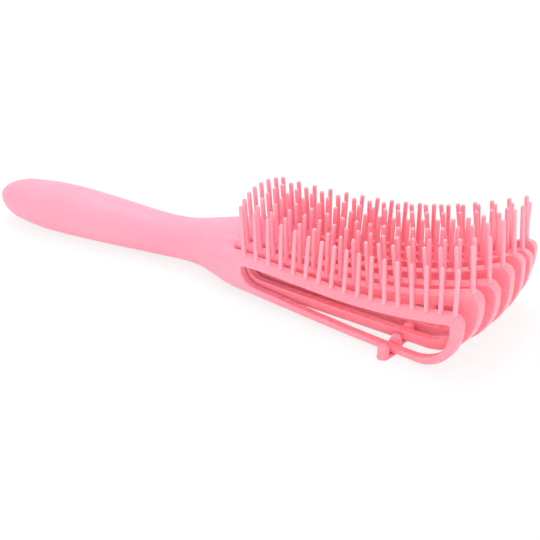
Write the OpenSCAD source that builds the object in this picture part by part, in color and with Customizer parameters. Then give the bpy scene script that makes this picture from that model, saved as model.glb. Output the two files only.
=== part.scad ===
/* [Brush] */
// Overall length, from the round end of the handle to the noses of the middle ribs
brush_l = 240; // [225:1:255]
// Distance from the centre of the fan to the noses of the middle ribs
nose_r = 203.8; // [199:0.2:210]
// Distance from the centre of the fan to the end of the head, where the ribs leave it
root_r = 92.2; // [90:0.2:94]
// Angle between each of the two middle ribs and the middle plane
angle_inner = 1.6; // [1.5:0.05:1.75]
// Angle of the next pair of ribs
angle_second = 4.7; // [4.5:0.05:4.9]
// Angle of the third pair of ribs
angle_third = 7.65; // [7.5:0.05:7.8]
// Angle of the outer pair of ribs
angle_outer = 10.1; // [10:0.05:10.4]

/* [Handle] */
// Width of the grip at its fullest
grip_w = 24.8; // [22:0.2:28]
// Width of the neck
neck_w = 19.6; // [17:0.2:22]
// Width of the head where the ribs leave it
head_w = 36; // [35.6:0.2:37.6]
// Height of the grip at its fullest
grip_h = 20; // [18:0.2:23]
// Height of the neck's upper side
neck_h = 18.4; // [17:0.2:20]
// Height of the head's upper side where the ribs leave it
head_h = 24.1; // [23.4:0.1:25]
// Height of the head's underside
head_under = 2.1; // [1.6:0.1:2.6]
// Length of the round end of the handle
end_l = 15; // [11:0.5:20]
// Wall of the two handle shells
wall = 1.6; // [1.3:0.1:1.9]

/* [Ribs] */
// Width of a rib along its bars
rib_w = 3.4; // [3:0.1:3.6]
// Width of a rib at its nose
nose_w = 4.8; // [4.2:0.1:5.2]
// Gap between the head and the root of a rib
root_gap = 0.4; // [0.3:0.05:0.6]
// Length of a rib's root, from the head to the window
root_l = 4.7; // [4:0.1:6]
// Height of the middle ribs' pin strip at its lowest place
strip_low = 20.5; // [19.5:0.1:21.5]
// Rise of the middle ribs' pin strip towards the head
strip_root_rise = 3.9; // [2.5:0.1:4.4]
// Rise of the middle ribs' pin strip towards the nose
strip_nose_rise = 14.6; // [11:0.1:17]
// Thickness of the pin strip of the inner ribs
strip_t = 4.9; // [4.2:0.1:5.2]
// Thickness of the outer ribs' lower bars
bar_t = 2.5; // [2.2:0.1:3]
// Thickness of the inner ribs' lower bars
inner_bar_t = 3.9; // [3:0.1:4.1]
// Height of the lower bars' underside at the head
bar_root_z = 3.4; // [3:0.1:3.8]
// Height of the lower bars' underside at the tie strap, inner ribs
bar_z = 3.9; // [3.7:0.1:4.4]
// Thickness of a nose, seen from the side
nose_t = 4.5; // [3.8:0.1:5.2]
// Length of the curve from the lower bar up to the nose
heel_l = 22.5; // [18:0.5:25]
// Height of the curve from the lower bar up to the nose
heel_h = 21.7; // [18:0.1:22]
// Radius of the nose's upper corner
corner_r = 4; // [3:0.1:4.6]

/* [Pins] */
// Pins on each of the four middle ribs
inner_pin_count = 18; // [16:1:18]
// Pins on each of the four outer ribs
outer_pin_count = 17; // [15:1:17]
// Length of a pin above its strip
pin_l = 17.3; // [15:0.1:20]
// Extra length of the outer ribs' first pin
pin_extra = 3.3; // [0:0.1:4]
// Diameter of a pin at its base
pin_base_d = 1.96; // [1.6:0.02:2.2]
// Diameter of a pin at its round tip
pin_tip_d = 1.76; // [1.4:0.02:2]
// Thickness of the layer of the strip that the pins stand on
pin_layer = 0.8; // [0.6:0.1:1]
// Distance from the root of an outer rib to its first pin
first_pin = 5.4; // [5:0.1:6.5]

/* [Pivots] */
// Distance from the row of pivots to the end of the head
pivot_back = 6.7; // [6.2:0.1:8]
// Distance between neighbouring pivots
pivot_pitch = 3.7; // [3.6:0.05:3.8]
// Diameter of a pivot peg
peg_d = 1.5; // [1.2:0.05:1.6]
// Running clearance round a pivot peg
peg_clear = 0.05; // [0.03:0.01:0.08]
// Diameter of a rib's eye and of the shoulder and boss that it turns between
eye_d = 3; // [2.8:0.05:3.1]
// Thickness of the tongue between a rib's root and its eye
tongue_t = 1.7; // [1.4:0.05:1.8]
// Height of a rib's eye and tongue
eye_h = 4.6; // [3.6:0.1:5.2]
// Height of the underside of a rib's eye
eye_z = 8.5; // [8:0.1:9]
// Clearance above and below an eye
eye_clear = 0.1; // [0.05:0.05:0.2]

/* [Tie strap] */
// Distance from the middle of the tie strap to the noses of the outer ribs
strap_back = 31; // [29:0.2:36]
// Width of the strap's band
strap_w = 5; // [4.8:0.1:6]
// Thickness of the strap's band
strap_t = 1.2; // [1:0.05:1.4]
// Clearance between the band and the lower bars
strap_clear = 0.25; // [0.25:0.05:0.4]
// Clearance between a lower bar and the pegs on both sides of it
bar_clear = 0.3; // [0.25:0.05:0.4]
// Height of the strap's teeth above its band
tooth_h = 4.7; // [4:0.1:5.5]
// Length of a tooth along the bars
tooth_l = 4.8; // [4.4:0.1:5.2]
// Height of the pegs at the strap's ends
end_peg_h = 5.2; // [4.5:0.1:6]
// Diameter of the pegs at the strap's ends
end_peg_d = 4.7; // [4:0.1:5.5]

/* [Hidden] */
$fn = 48;
RIBS = 8;
pale_pink = [1, 0.66, 0.76];
pink = [1, 0.58, 0.68];

// Values by pair of ribs, from the outer pair to the middle pair
fan_angles = [angle_outer, angle_third, angle_second, angle_inner];
pin_counts = [outer_pin_count, outer_pin_count, inner_pin_count, inner_pin_count];
nose_shares = [0.9833, 0.9936, 0.9985, 1];
low_shares = [0.91, 0.956, 0.99, 1];
root_rise_shares = [0.06, 0.72, 0.85, 1];
nose_rise_shares = [0.49, 0.855, 0.825, 1];
low_place_shares = [0.42, 0.33, 0.37, 0.37];
strip_t_shares = [0.82, 1, 1, 1];
heel_shares = [0.82, 1, 1, 1];
// Thickness of the noses, and upper corners of the windows there, as shares of nose_t
nose_t_shares = [1, 1.7, 1.45, 1.35];
window_corner_shares = [0, 1.04, 1.1, 1.33];
first_pin_shares = [1, 0.7, 0.46, 0.32];

// The centre of the fan, where the lines of all the ribs meet
fan_x = brush_l/2 - nose_r*cos(angle_inner);
head_end = fan_x + root_r;
handle_l = head_end + brush_l/2;
overrun = brush_l/20;

function pair(k) = k <= RIBS/2 ? k - 1 : RIBS - k;
function side(k) = k <= RIBS/2 ? -1 : 1;
function fan_angle(k) = side(k)*fan_angles[pair(k)];

// A smooth curve through rows of place and value
function row_at(t, rows, i = 0) = i >= len(rows) - 2 || t < rows[i + 1][0] ? i : row_at(t, rows, i + 1);
function steepness(rows, i) =
    let (a = rows[max(i - 1, 0)], b = rows[min(i + 1, len(rows) - 1)])
    (b[1] - a[1])/(b[0] - a[0]);
function curve(t, rows) =
    let (
        i = row_at(t, rows),
        step = rows[i + 1][0] - rows[i][0],
        u = (t - rows[i][0])/step,
        from = steepness(rows, i)*step,
        to = steepness(rows, i + 1)*step
    )
    (1 - 3*u*u + 2*u*u*u)*rows[i][1] + (3*u*u - 2*u*u*u)*rows[i + 1][1]
        + (u - 2*u*u + u*u*u)*from + (u*u*u - u*u)*to;

// Handle: its section along its length, by share of the length
half_grip = grip_w/2;
half_neck = neck_w/2;
half_head = head_w/2;
width_rows = [
    [0, 0.57*half_grip], [0.096, 0.815*half_grip], [0.205, half_grip], [0.322, half_grip],
    [0.478, 0.92*half_grip], [0.634, 1.01*half_neck], [0.743, half_neck],
    [0.836, 0.76*half_neck + 0.24*half_head], [0.922, 0.29*half_neck + 0.71*half_head], [1, half_head]
];
top_rows = [
    [0, 0.87*grip_h], [0.096, 0.93*grip_h], [0.205, 0.985*grip_h], [0.322, grip_h],
    [0.478, 0.96*grip_h], [0.634, 0.985*neck_h], [0.743, 1.02*neck_h],
    [0.836, 0.5*neck_h + 0.5*head_h], [0.922, 0.12*neck_h + 0.88*head_h], [1, head_h]
];
under_rows = [
    [0, 0.1*grip_h], [0.096, 0.08*grip_h], [0.205, 0.015*grip_h], [0.322, 0],
    [0.478, 0.015*grip_h], [0.634, 0.42*head_under], [0.743, 0.76*head_under],
    [0.836, 1.2*head_under], [0.922, 1.1*head_under], [1, head_under]
];
// Height of the parting line between the two shells
part_rows = [[0, 0.49*grip_h], [0.25, 0.5*grip_h], [0.7, 0.53*neck_h], [1, 0.5*head_h]];
// How square the section is, above and below the parting line
top_square_rows = [[0, 2.1], [0.74, 2.1], [1, 2.5]];
under_square_rows = [[0, 2.1], [0.74, 2.1], [0.84, 2.8], [0.92, 4], [1, 5]];

function along(x) = (x + brush_l/2)/handle_l;
function half_width(s) = curve(s, width_rows);
function part_z(s) = curve(s, part_rows);
function top_z(s) = curve(s, top_rows);
function under_z(s) = curve(s, under_rows);
// How far the round end has opened at a share of the length
function opening(s) =
    let (u = min(1, (s*handle_l + tip_l)/end_l))
    sqrt(1 - (1 - u)*(1 - u));
tip_l = 0.01*end_l;

// A point of the section at angle t, drawn in by an inset from the outside
function section_point(s, t, inset) =
    let (
        upper = t <= 180,
        square = 2/(upper ? curve(s, top_square_rows) : curve(s, under_square_rows)),
        reach = upper ? top_z(s) - part_z(s) : part_z(s) - under_z(s),
        f = opening(s),
        y = (f*half_width(s) - inset)*sign(cos(t))*pow(abs(cos(t)), square),
        z = (f*reach - inset)*sign(sin(t))*pow(abs(sin(t)), square),
        pull = pow(max(0, (s - 0.8)/0.2), 2)
    )
    [
        s*handle_l - brush_l/2 - pull*(root_r - sqrt(root_r*root_r - y*y)),
        y,
        part_z(s) + z
    ];

// Height of the shells' inner face above or below a place in the head
function inner_z(x, y, upper) =
    let (
        s = along(x),
        square = upper ? curve(s, top_square_rows) : curve(s, under_square_rows),
        reach = (upper ? top_z(s) : 2*part_z(s) - under_z(s)) - part_z(s) - wall,
        z = reach*pow(1 - pow(abs(y)/(half_width(s) - wall), square), 1/square)
    )
    part_z(s) + (upper ? z : -z);

shell_rings = 34;
shell_arcs = 20;
closed_rings = 6;
function ring_share(i) = (1 - cos(180*i/shell_rings))/2;

// One handle shell: half of the section all along the handle, hollow past its round end
module shell(from) {
    row = shell_arcs + 1;
    last = shell_rings;
    rings = [for (i = [0:last]) ring_share(i)];
    outer = [
        for (i = [0:last]) for (j = [0:shell_arcs])
            section_point(rings[i], from + 180 - 180*j/shell_arcs, 0)
    ];
    inner = [
        for (i = [closed_rings:last]) for (j = [0:shell_arcs])
            section_point(rings[i], from + 180 - 180*j/shell_arcs, wall)
    ];
    function o(i, j) = i*row + j;
    function n(i, j) = (last + 1)*row + (i - closed_rings)*row + j;
    skin = [
        for (i = [0:last - 1]) for (j = [0:shell_arcs - 1])
            each [[o(i, j), o(i + 1, j + 1), o(i + 1, j)], [o(i, j), o(i, j + 1), o(i + 1, j + 1)]]
    ];
    lining = [
        for (i = [closed_rings:last - 1]) for (j = [0:shell_arcs - 1])
            each [[n(i, j), n(i + 1, j), n(i + 1, j + 1)], [n(i, j), n(i + 1, j + 1), n(i, j + 1)]]
    ];
    edge = [
        for (i = [closed_rings:last - 1])
            each [
                [o(i, 0), o(i + 1, 0), n(i + 1, 0)], [o(i, 0), n(i + 1, 0), n(i, 0)],
                [o(i, shell_arcs), n(i + 1, shell_arcs), o(i + 1, shell_arcs)],
                [o(i, shell_arcs), n(i, shell_arcs), n(i + 1, shell_arcs)]
            ]
    ];
    flat = [
        for (i = [0:closed_rings - 2])
            each [
                [o(i, 0), o(i + 1, 0), o(i + 1, shell_arcs)],
                [o(i, 0), o(i + 1, shell_arcs), o(i, shell_arcs)]
            ]
    ];
    rim = let (a = o(closed_rings - 1, 0), b = o(closed_rings - 1, shell_arcs))
        let (c = n(closed_rings, 0), d = n(closed_rings, shell_arcs))
        [[a, o(closed_rings, 0), c], [a, c, d], [a, d, b], [b, d, o(closed_rings, shell_arcs)]];
    front = [
        for (j = [0:shell_arcs - 1])
            each [[o(last, j), o(last, j + 1), n(last, j + 1)], [o(last, j), n(last, j + 1), n(last, j)]]
    ];
    tip = [[for (j = [0:shell_arcs]) o(0, shell_arcs - j)]];
    back = [[for (j = [0:shell_arcs]) n(closed_rings, j)]];
    polyhedron(concat(outer, inner), concat(skin, lining, edge, flat, rim, front, tip, back));
}

// Pivots: a row of pegs across the head
function pivot_y(k) = pivot_pitch*(k - (RIBS + 1)/2);
pivot_r = root_r - pivot_back;
pivot_x = fan_x + pivot_r;
eye_top = eye_z + eye_h;

module handle_top_shell() {
    color(pale_pink) difference() {
        union() {
            shell(0);
            for (k = [1:RIBS])
                translate([pivot_x, pivot_y(k), eye_top + eye_clear])
                    cylinder(d = eye_d, h = inner_z(pivot_x, pivot_y(k), true) + wall/2 - eye_top - eye_clear);
        }
        for (k = [1:RIBS])
            translate([pivot_x, pivot_y(k), eye_top])
                cylinder(r = peg_d/2 + peg_clear, h = peg_top);
    }
}
peg_top = eye_h/2;

module handle_bottom_shell() {
    color(pale_pink) union() {
        shell(180);
        for (k = [1:RIBS])
            translate([pivot_x, pivot_y(k), 0]) {
                base = inner_z(pivot_x, pivot_y(k), false) - wall/2;
                translate([0, 0, base]) cylinder(d = eye_d, h = eye_z - eye_clear - base);
                translate([0, 0, base]) cylinder(d = peg_d, h = eye_top + peg_top - eye_clear - base);
            }
    }
}

// Ribs: sizes of each pair, in radius from the centre of the fan and height
function nose(p) = nose_r*nose_shares[p];
strap_r = nose(0) - strap_back;
rib_start = root_r + root_gap;
window_start = rib_start + root_l;
function low_place(p) = rib_start + low_place_shares[p]*(nose(p) - rib_start);
function low_z(p) = strip_low*low_shares[p];
function strip_z(p, r) =
    let (at = low_place(p), rise = nose(p) - corner_r - at, fall = at - rib_start)
    low_z(p) + (r > at
        ? strip_nose_rise*nose_rise_shares[p]*pow((r - at)/rise, 2)
        : strip_root_rise*root_rise_shares[p]*pow((at - r)/fall, 2));
function strip_lean(p, r) = atan((strip_z(p, r + overrun/100) - strip_z(p, r - overrun/100))/(overrun/50));
// The outer strips are thicker at the root
function thickness(p, r) =
    strip_t*(strip_t_shares[p] + (p == 0 ? 0.16*pow(max(0, 1 - (r - window_start)/(3*root_l)), 2) : 0));
function bar(p) = p == 0 ? bar_t : inner_bar_t;
// The outer bars lie lower, on the ends of the tie strap
function bar_end(p) = p == 0 ? strap_t + strap_clear : bar_z;
function heel_start(p) = nose(p) - heel_l*heel_shares[p];
function bar_under(p, r) =
    let (u = (r - rib_start)/(strap_r - rib_start))
    bar_root_z + (bar_end(p) - bar_root_z)*(p == 0 ? pow(sin(90*min(1, max(0, u))), 1.5) : u);
// The inner ribs' bars are straight and the outer ones sag
function bar_steps(p) = p == 0 ? 14 : 1;

strip_steps = 22;
function corner_lean(p) = strip_lean(p, nose(p) - corner_r);
function corner_start(p) = nose(p) - corner_r*(1 + sin(corner_lean(p)));
function corner_z(p) = strip_z(p, corner_start(p)) - corner_r*cos(corner_lean(p));
// Height of a rib's upper side, over the strip and its rounded corner
function surface_z(p, r) =
    r > corner_start(p) ? corner_z(p) + sqrt(corner_r*corner_r - pow(r - nose(p) + corner_r, 2)) : strip_z(p, r);

// The outline of a rib seen from the side
module rib_outline(p) {
    e = heel_start(p);
    under = bar_under(p, e);
    rise = min(heel_h, 0.97*(corner_z(p) - under));
    top = [
        for (i = [0:strip_steps])
            let (r = rib_start + (corner_start(p) - rib_start)*i/strip_steps)
            [r, strip_z(p, r)]
    ];
    corner = [
        for (i = [1:6])
            let (t = (90 + corner_lean(p))*(1 - i/6))
            [nose(p) - corner_r + corner_r*cos(t), corner_z(p) + corner_r*sin(t)]
    ];
    heel = [
        for (i = [0:9])
            let (t = 10*i)
            [e + (nose(p) - e)*cos(t), under + rise*(1 - sin(t))]
    ];
    lower = [
        for (i = [1:bar_steps(p)])
            let (r = e + (rib_start - e)*i/bar_steps(p))
            [r, bar_under(p, r)]
    ];
    polygon(concat(top, corner, heel, lower));
}

// The long window of a rib, with curved lower corners. Its upper corners are square, but round at the inner ribs' noses
module rib_window(p) {
    e = heel_start(p) - nose_t/2;
    far = nose(p) - nose_t*nose_t_shares[p];
    w = nose_t*window_corner_shares[p];
    corner_top = strip_z(p, far - w) - thickness(p, far - w);
    window_heel = min(0.66*heel_h, corner_top - w - bar_under(p, e) - bar(p) - 1);
    near_w = 1.45*root_l;
    sill = bar(p) + 0.3*bar_t;
    top = [
        for (i = [0:strip_steps])
            let (r = window_start + (far - w - window_start)*i/strip_steps)
            [r, strip_z(p, r) - thickness(p, r)]
    ];
    corner = w == 0 ? [] : [for (t = [22.5:22.5:90]) [far - w + w*sin(t), corner_top - w + w*cos(t)]];
    heel = [
        for (i = [0:9])
            let (t = 10*i, under = bar_under(p, e) + bar(p))
            [e + (far - e)*cos(t), under + window_heel*(1 - sin(t))]
    ];
    root = [
        for (i = [0:6])
            let (t = 15*i, under = bar_under(p, window_start) + sill)
            [window_start + near_w*(1 - sin(t)), under + near_w*0.87*(1 - cos(t))]
    ];
    // The upper side of the bar, up to the curve at the root
    near = window_start + near_w;
    step_up = root[0][1] - bar_under(p, near) - bar(p);
    upper = bar_steps(p) < 2 ? [] : [
        for (i = [1:bar_steps(p) - 1])
            let (u = i/bar_steps(p), r = e + (near - e)*u)
            [r, bar_under(p, r) + bar(p) + step_up*u*u]
    ];
    polygon(concat(top, corner, heel, upper, root));
}

// The layer of the strip that carries the pins
function last_pin(p) = corner_start(p) + 0.3*corner_r;
module strip_layer(p) {
    to = last_pin(p) + pin_base_d/2;
    polygon(concat(
        [
            for (i = [0:strip_steps])
                let (r = rib_start + (corner_start(p) - rib_start)*i/strip_steps)
                [r, strip_z(p, r) - pin_layer]
        ],
        [
            [to, strip_z(p, corner_start(p)) - pin_layer],
            [to, strip_z(p, to) + pin_l],
            [rib_start, strip_z(p, to) + pin_l]
        ]
    ));
}

// The outline of a rib seen from above: parallel, then widening to a rounded nose
module rib_plan(p) {
    end = nose(p);
    round = 0.42*nose_w;
    edge = [
        [rib_start, rib_w/2], [heel_start(p) - heel_l/4, rib_w/2], [end - 2*nose_t, nose_w/2],
        for (i = [0:4])
            let (t = 90 - 22.5*i)
            [end - round + round*cos(t), nose_w/2 - round + round*sin(t)]
    ];
    polygon(concat(edge, [for (i = [len(edge) - 1:-1:0]) [edge[i][0], -edge[i][1]]]));
}

module at_rib(k) {
    translate([fan_x, 0, 0]) rotate([0, 0, fan_angle(k)]) children();
}

module rib_prism(p) {
    intersection() {
        rotate([90, 0, 0]) linear_extrude(height = 2*nose_w, center = true) children();
        translate([0, 0, -overrun]) linear_extrude(height = brush_l/2) rib_plan(p);
    }
}

// A rib: its loop, and the tongue and eye that hold it in the head
module rib(k) {
    p = pair(k);
    // The pivot, seen from the rib
    pivot = [
        pivot_r*cos(fan_angle(k)) + pivot_y(k)*sin(fan_angle(k)),
        pivot_y(k)*cos(fan_angle(k)) - pivot_r*sin(fan_angle(k))
    ];
    root = [rib_start + root_l/2, 0.42*pivot[1]];
    half = tongue_t/2;
    color(pink) at_rib(k) difference() {
        union() {
            rib_prism(p) difference() {
                rib_outline(p);
                rib_window(p);
                strip_layer(p);
            }
            translate([0, 0, eye_z]) linear_extrude(height = eye_h) polygon([
                [pivot[0], pivot[1] - half], [rib_start, root[1] - half], [root[0], root[1] - half],
                [root[0], root[1] + half], [rib_start, root[1] + half], [pivot[0], pivot[1] + half]
            ]);
            translate([pivot[0], pivot[1], eye_z]) cylinder(d = eye_d, h = eye_h);
        }
        translate([pivot[0], pivot[1], eye_z - overrun/2])
            cylinder(r = peg_d/2 + peg_clear, h = overrun);
    }
}

// Pins lean a little along their ribs, each pair of rows in its own wave, in degrees
pin_lean_rows = [
    [[0, -5], [0.15, -1], [0.35, 4.5], [0.5, 2], [0.65, -1.5], [0.8, -4], [1, 0.5]],
    [[0, -5.5], [0.15, -4], [0.35, 0.5], [0.5, -3.5], [0.65, -9], [0.8, -7], [1, -4.5]],
    [[0, -5.5], [0.15, -4], [0.35, 3.5], [0.5, -3], [0.65, -6], [0.8, -1.5], [1, -3.5]],
    [[0, -5.5], [0.15, -5], [0.35, 4], [0.5, 2], [0.65, 0.5], [0.8, 0], [1, -3.5]]
];
// They are longer near the head, most of all in the outer rows, and a little at the noses
pin_extra_shares = [1, 0.42, 0.3, 0.15];

module pin_row(k) {
    p = pair(k);
    count = pin_counts[p];
    from = rib_start + first_pin*first_pin_shares[p];
    color(pale_pink) at_rib(k) union() {
        rib_prism(p) intersection() {
            rib_outline(p);
            strip_layer(p);
        }
        for (i = [0:count - 1]) {
            u = i/(count - 1);
            r = from + u*(last_pin(p) - from);
            extra = pin_extra*pin_extra_shares[p]*pow(1 - u, 5) + 0.035*pin_l*pow(u, 4);
            long = pin_l + extra - pin_tip_d/2 + pin_layer/2;
            translate([r, 0, surface_z(p, r) - pin_layer/2])
                rotate([0, curve(u, pin_lean_rows[p]), 0]) {
                    cylinder(d1 = pin_base_d, d2 = pin_tip_d, h = long, $fn = 24);
                    translate([0, 0, long]) sphere(d = pin_tip_d, $fn = 24);
                }
        }
    }
}

// Tie strap: an arc of a band under the lower bars, with a tooth in every gap between two bars
// and a peg past each outer bar. Places along it are angles seen from the centre of the fan
function arc_angle(length) = length/strap_r*180/PI;
bar_angle = asin(rib_w/2/strap_r);
function band_top(inner) = (inner ? bar_z : bar_end(0)) - strap_clear;
end_angle = angle_outer + bar_angle + arc_angle(bar_clear + end_peg_d/2);
// The band dips between the inner bars and the outer ones
dip_in = (strap_r + strap_w/2)*sin(angle_third + bar_angle) + bar_clear;
dip_out = (strap_r - strap_w/2)*sin(angle_outer - bar_angle) - bar_clear;

module sector(half_angle) {
    far = [brush_l*cos(half_angle), brush_l*sin(half_angle)];
    polygon([[0, 0], [far[0], -far[1]], far]);
}

// The band from above, with round ends
module strap_plan() {
    union() {
        intersection() {
            rotate(180) difference() {
                circle(r = strap_r + strap_w/2);
                circle(r = strap_r - strap_w/2);
            }
            sector(end_angle);
        }
        for (s = [-1, 1]) rotate(s*end_angle) translate([strap_r, 0]) circle(d = strap_w);
    }
}

module strap_band() {
    low = band_top(false);
    high = band_top(true);
    wide = brush_l/4;
    front = [
        [-wide, low - strap_t], [-dip_out, low - strap_t], [-dip_in, high - strap_t],
        [dip_in, high - strap_t], [dip_out, low - strap_t], [wide, low - strap_t],
        [wide, low], [dip_out, low], [dip_in, high], [-dip_in, high], [-dip_out, low], [-wide, low]
    ];
    intersection() {
        translate([0, 0, -overrun]) linear_extrude(height = 2*overrun) strap_plan();
        rotate([90, 0, 90]) linear_extrude(height = brush_l) polygon(front);
    }
}

// A tooth: round towards the noses, with a ramp towards the handle
module strap_tooth(angle, w, top) {
    at = strap_w/2 - 0.15 - w/2;
    peak = top + tooth_h;
    foot = top - strap_t/2;
    rotate([0, 0, angle]) translate([strap_r, 0, 0]) {
        translate([at, 0, foot]) cylinder(d = w, h = peak - w/2 - foot);
        translate([at, 0, peak - w/2]) sphere(d = w);
        rotate([90, 0, 0]) linear_extrude(height = 0.8*w, center = true) polygon([
            [at, foot], [at, peak - 0.2*w], [-0.25*tooth_l, peak - 0.2*w],
            [-0.7*tooth_l, top], [-0.7*tooth_l, foot]
        ]);
    }
}

module tie_strap() {
    low = band_top(false);
    high = band_top(true);
    color(pink) translate([fan_x, 0, 0]) union() {
        strap_band();
        for (s = [-1, 1]) rotate([0, 0, s*end_angle]) translate([strap_r, 0, low - strap_t/2]) {
            cylinder(d = end_peg_d, h = strap_t/2 + end_peg_h - end_peg_d/2);
            translate([0, 0, strap_t/2 + end_peg_h - end_peg_d/2]) sphere(d = end_peg_d);
        }
        for (k = [1:RIBS - 1]) {
            gap = strap_r*(fan_angle(k + 1) - fan_angle(k))*PI/180 - rib_w - 2*bar_clear;
            outer = k == 1 || k == RIBS - 1;
            strap_tooth((fan_angle(k) + fan_angle(k + 1))/2, min(strap_w - 0.3, gap), outer ? 0.45*low + 0.55*high : high);
        }
    }
}

handle_top_shell();
handle_bottom_shell();
tie_strap();
rib(1);  // rib_1
rib(2);  // rib_2
rib(3);  // rib_3
rib(4);  // rib_4
rib(5);  // rib_5
rib(6);  // rib_6
rib(7);  // rib_7
rib(8);  // rib_8
pin_row(1);  // pin_row_1
pin_row(2);  // pin_row_2
pin_row(3);  // pin_row_3
pin_row(4);  // pin_row_4
pin_row(5);  // pin_row_5
pin_row(6);  // pin_row_6
pin_row(7);  // pin_row_7
pin_row(8);  // pin_row_8
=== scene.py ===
from collections import namedtuple
from math import asin, atan, atan2, cos, degrees, pi, radians, sin, sqrt

import bmesh
import bpy
from mathutils import Matrix, Vector


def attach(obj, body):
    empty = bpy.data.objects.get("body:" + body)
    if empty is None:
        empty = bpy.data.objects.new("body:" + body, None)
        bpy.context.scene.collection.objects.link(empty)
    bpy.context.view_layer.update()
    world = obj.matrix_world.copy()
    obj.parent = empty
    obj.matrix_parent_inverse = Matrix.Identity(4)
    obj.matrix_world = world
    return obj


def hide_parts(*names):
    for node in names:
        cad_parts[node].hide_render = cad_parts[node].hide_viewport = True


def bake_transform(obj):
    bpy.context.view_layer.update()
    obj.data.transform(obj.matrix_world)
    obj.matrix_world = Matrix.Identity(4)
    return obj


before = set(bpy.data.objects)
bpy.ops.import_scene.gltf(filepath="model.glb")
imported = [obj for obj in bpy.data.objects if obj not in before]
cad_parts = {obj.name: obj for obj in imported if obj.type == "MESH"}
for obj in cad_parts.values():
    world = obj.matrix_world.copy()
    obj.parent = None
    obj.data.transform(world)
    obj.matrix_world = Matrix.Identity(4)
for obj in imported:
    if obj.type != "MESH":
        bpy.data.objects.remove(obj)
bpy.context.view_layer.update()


# ---------------------------------------------------------------- camera
def make_camera():
    """The camera of the photograph. It is tilted a little about the brush's cross axis."""
    az, el, tilt = radians(29.403), radians(25.819), 0.0097
    back = Vector((sin(az) * cos(el), -cos(az) * cos(el), sin(el)))
    right = Vector((cos(az), sin(az), 0))
    up = back.cross(right)
    axes = [Vector((a.x - tilt * a.z, a.y, a.z + tilt * a.x)) for a in (right, up, back)]
    data = bpy.data.cameras.new("camera")
    data.lens = 104.6
    data.sensor_width = 36
    data.clip_start = 0.01
    camera = bpy.data.objects.new("camera", data)
    bpy.context.scene.collection.objects.link(camera)
    turn = Matrix(axes).transposed().to_quaternion()
    camera.matrix_world = Matrix.LocRotScale(Vector((0.2934, -0.4991, 0.2851)), turn, None)
    bpy.context.scene.camera = camera


make_camera()
bpy.context.scene.view_settings.view_transform = "Standard"


# ---------------------------------------------------------------- the part's sizes, in millimetres
# r is a place along a rib, measured from the centre of the ribs' fan. p is a pair of ribs, from
# 0, the outer ones, to 3, the inner ones, and each list of four has one value for each pair.
MM = 0.001
X_END = 120  # the handle's end is at -X_END, the noses of the inner ribs are at X_END
FAN_L = 203.8
ANGLES = [10.1, 7.65, 4.7, 1.6]
FAN_X = X_END - FAN_L * cos(radians(ANGLES[3]))
ROOT_R = 92.2
HEAD_END = FAN_X + ROOT_R
HANDLE_L = HEAD_END + X_END
RIB_START = 92.6
SEAM = 95.5  # the handle's mesh ends here, with the stubs of the ribs, and the ribs' meshes begin
WINDOW_START = 97.3
NOSE_SHARES = [0.9833, 0.9936, 0.9985, 1]
NOSE = [FAN_L * s - 0.05 for s in NOSE_SHARES]  # a hair inside the solids' noses
STRAP_R = FAN_L * NOSE_SHARES[0] - 31
RIB_HALF = 1.7
NOSE_HALF_MORE = [0.6, 0.68, 0.68, 0.68]  # a rib grows wider towards its nose
WIDER_BEFORE_HEEL, WIDER_END = 5.6, 6
LOW_PLACE = [0.42, 0.33, 0.37, 0.37]  # the strip's lowest place, as a share of its length
LOW_Z = [20.5 * s for s in (0.91, 0.956, 0.99, 1)]
ROOT_RISE = [3.9 * s for s in (0.06, 0.72, 0.85, 1)]
NOSE_RISE = [14.6 * s for s in (0.49, 0.855, 0.825, 1)]
STRIP_T = [4.9 * s for s in (0.82, 1, 1, 1)]
ROOT_T_MORE, ROOT_T_L = 0.78, 14.1  # the outer ribs' strips are thicker at the root
# The strip's slope across its top at the root, in the middle and at the nose, and where it
# changes from one to the next, as (start, length)
CROWN = [(0.35, 0.12, 0.14), (0.12, 0.14, 0.30), (0.10, 0.12, 0.26), (0.05, 0.05, 0.10)]
CROWN_FIRST, CROWN_SECOND = (96, 24), (125, 60)
CORNER_R = 4
NOSE_T = [4.5 * s for s in (1, 1.7, 1.45, 1.35)]
HEEL_L = [22.5 * s for s in (0.82, 1, 1, 1)]
HEEL_H = 21.7
BAR_T = [2.5, 3.9, 3.9, 3.9]
BAR_START_Z = 3.4
BAR_END_Z = [1.45, 3.9, 3.9, 3.9]
WINDOW_NOSE_R = [1.3, 4.7, 4.9, 6]
WINDOW_ROOT_R = 1.3
ROUND_L = 1.45 * 4.7  # the round lower end of the window at the root
ROUND_H = 0.87 * ROUND_L
ROUND_LIFT = 0.75
WINDOW_RISE = 0.66 * HEEL_H
SEAM_TOP_F, SEAM_UNDER_F = 2.2, 1.2  # the outer ribs' fillets at the seam
FIRST_PIN = [5.4 * s for s in (1, 0.7, 0.46, 0.32)]
LAST_PIN = 0.3 * CORNER_R  # the last pin stands this far past the corner's start
PIN_COUNT = [17, 17, 18, 18]
PIN_L = 17.3
PIN_EXTRA = [3.3 * s for s in (1, 0.42, 0.3, 0.15)]  # the first pins are longer by this
PIN_NOSE_EXTRA = 0.035 * PIN_L
PIN_LESS = 0.01  # a hair inside the solids' tips
RIBS = range(1, 9)


def smooth(t):
    t = min(1, max(0, t))
    return t * t * (3 - 2 * t)


def lerp(a, b, t):
    return a + (b - a) * t


def lerp_each(a, b, t):
    return [lerp(x, y, t) for x, y in zip(a, b)]


def unit(a, b):
    length = sqrt(a * a + b * b)
    return a / length, b / length


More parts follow.
